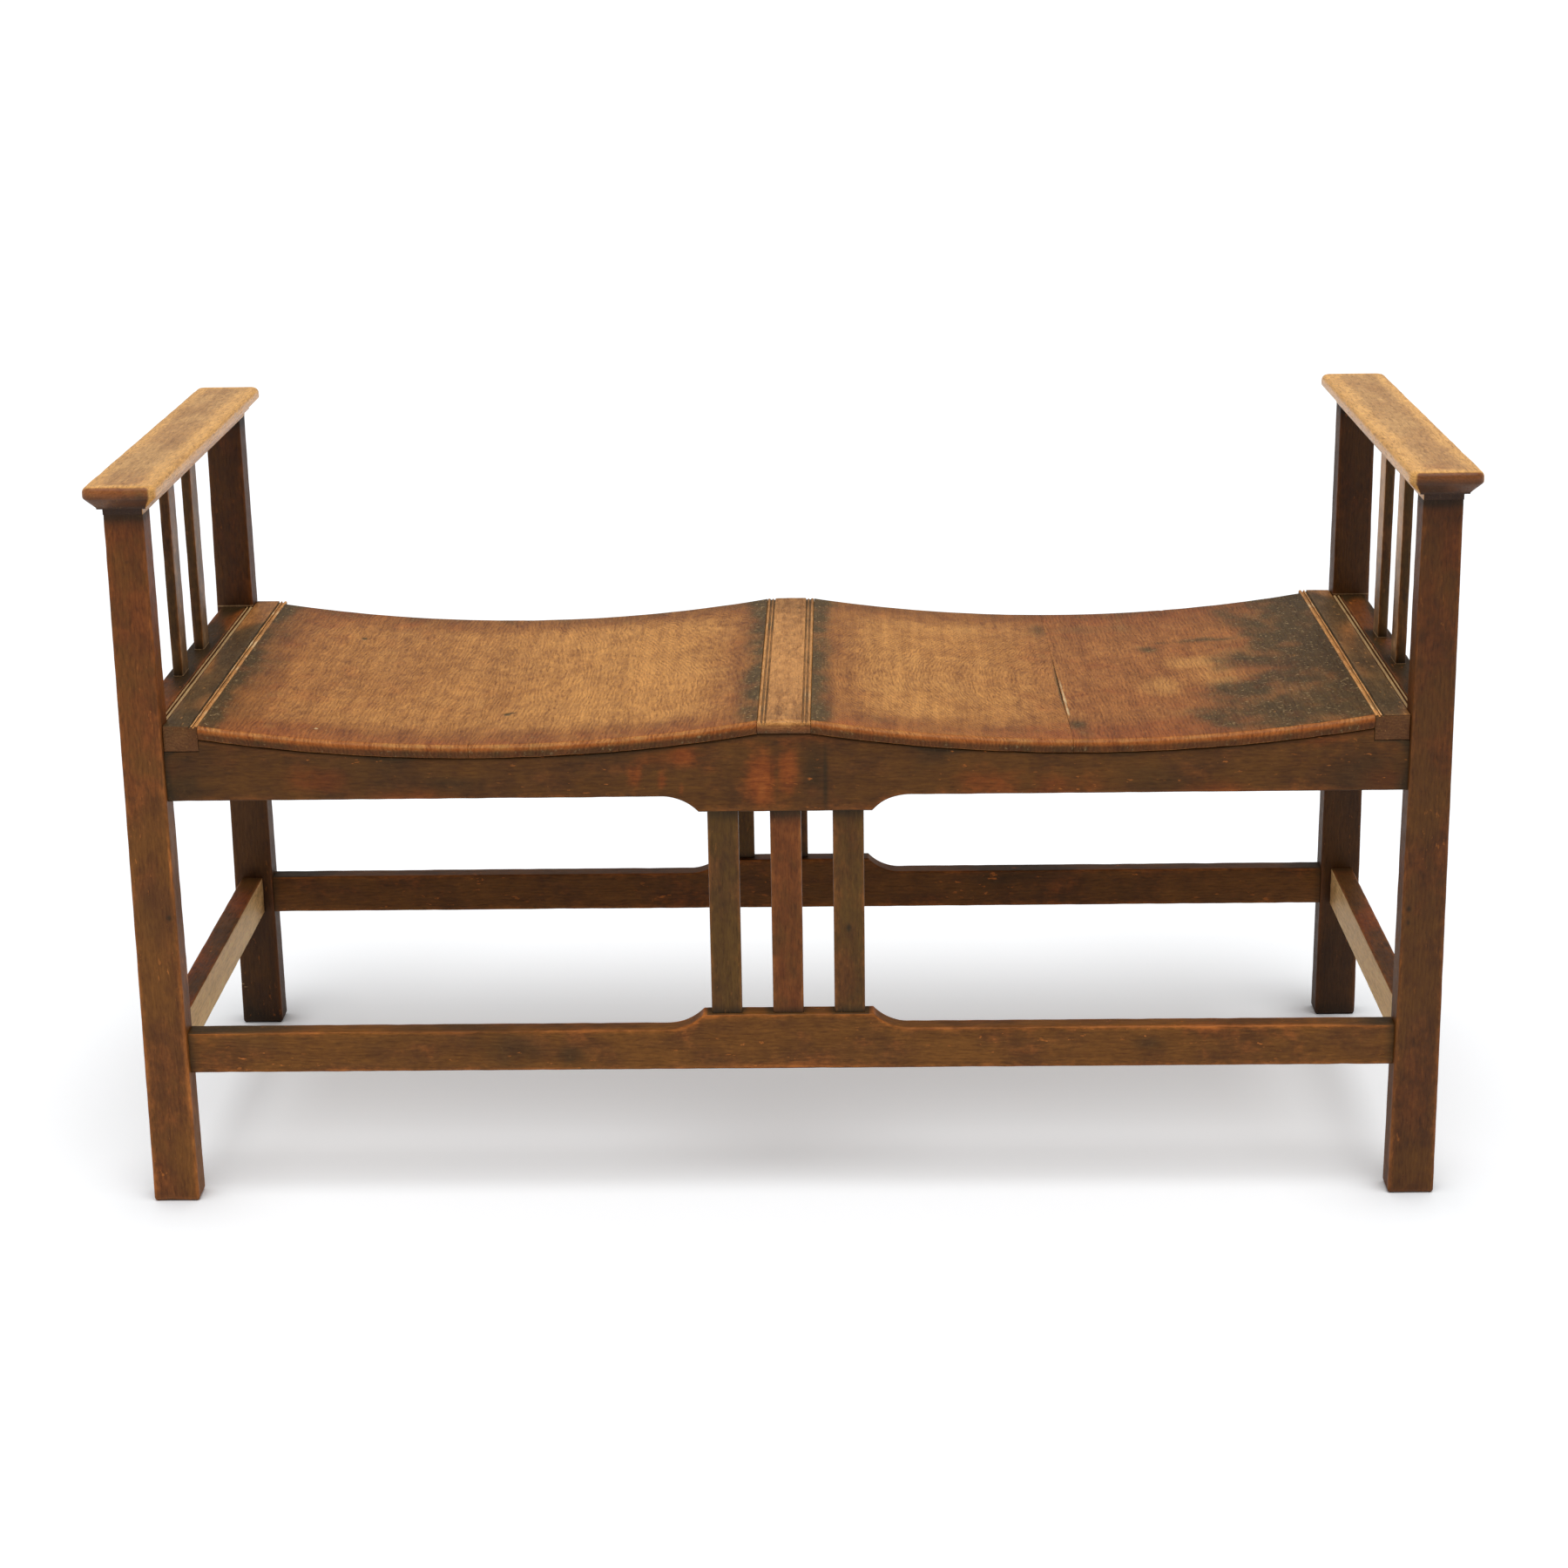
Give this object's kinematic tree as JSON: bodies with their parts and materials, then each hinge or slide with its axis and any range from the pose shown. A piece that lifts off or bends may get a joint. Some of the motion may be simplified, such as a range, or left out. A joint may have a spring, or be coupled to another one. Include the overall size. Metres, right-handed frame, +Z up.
{
  "type": "window bench",
  "caption": "Two-seat oak window bench with a dished seat, beaded strips, moulded arm caps and slatted ends.",
  "frame": {"origin": "on the floor under the middle of the bench", "axes": "+X to the right along the seat, +Y to the rear, +Z up"},
  "size_m": [1.2, 0.491, 0.679],
  "materials": {
    "post_oak": "waxed",
    "cap_oak": "worn wax",
    "rail_oak": "waxed",
    "slat_oak": "waxed",
    "seat_oak": "worn wax",
    "strip_oak": "worn wax",
    "block_pine": "sawn",
    "screw_steel": "dull"
  },
  "bodies": {
    "root": {"front_left_post": "post_oak", "front_right_post": "post_oak", "rear_left_post": "post_oak", "rear_right_post": "post_oak", "left_arm_cap": "cap_oak", "right_arm_cap": "cap_oak", "left_front_arm_slat": "slat_oak", "left_rear_arm_slat": "slat_oak", "right_front_arm_slat": "slat_oak", "right_rear_arm_slat": "slat_oak", "front_rail": "rail_oak", "rear_rail": "rail_oak", "left_end_rail": "rail_oak", "right_end_rail": "rail_oak", "front_stretcher": "rail_oak", "rear_stretcher": "rail_oak", "left_stretcher": "rail_oak", "right_stretcher": "rail_oak", "cross_bearer": "rail_oak", "front_slat_left": "slat_oak", "front_slat_middle": "slat_oak", "front_slat_right": "slat_oak", "rear_slat_left": "slat_oak", "rear_slat_middle": "slat_oak", "rear_slat_right": "slat_oak", "left_seat_board_inner": "seat_oak", "left_seat_board_middle": "seat_oak", "left_seat_board_outer": "seat_oak", "right_seat_board_inner": "seat_oak", "right_seat_board_outer": "seat_oak", "centre_strip": "strip_oak", "left_end_strip": "strip_oak", "right_end_strip": "strip_oak", "glue_blocks": "block_pine", "seat_screws": "screw_steel"}
  },
  "joints": []
}
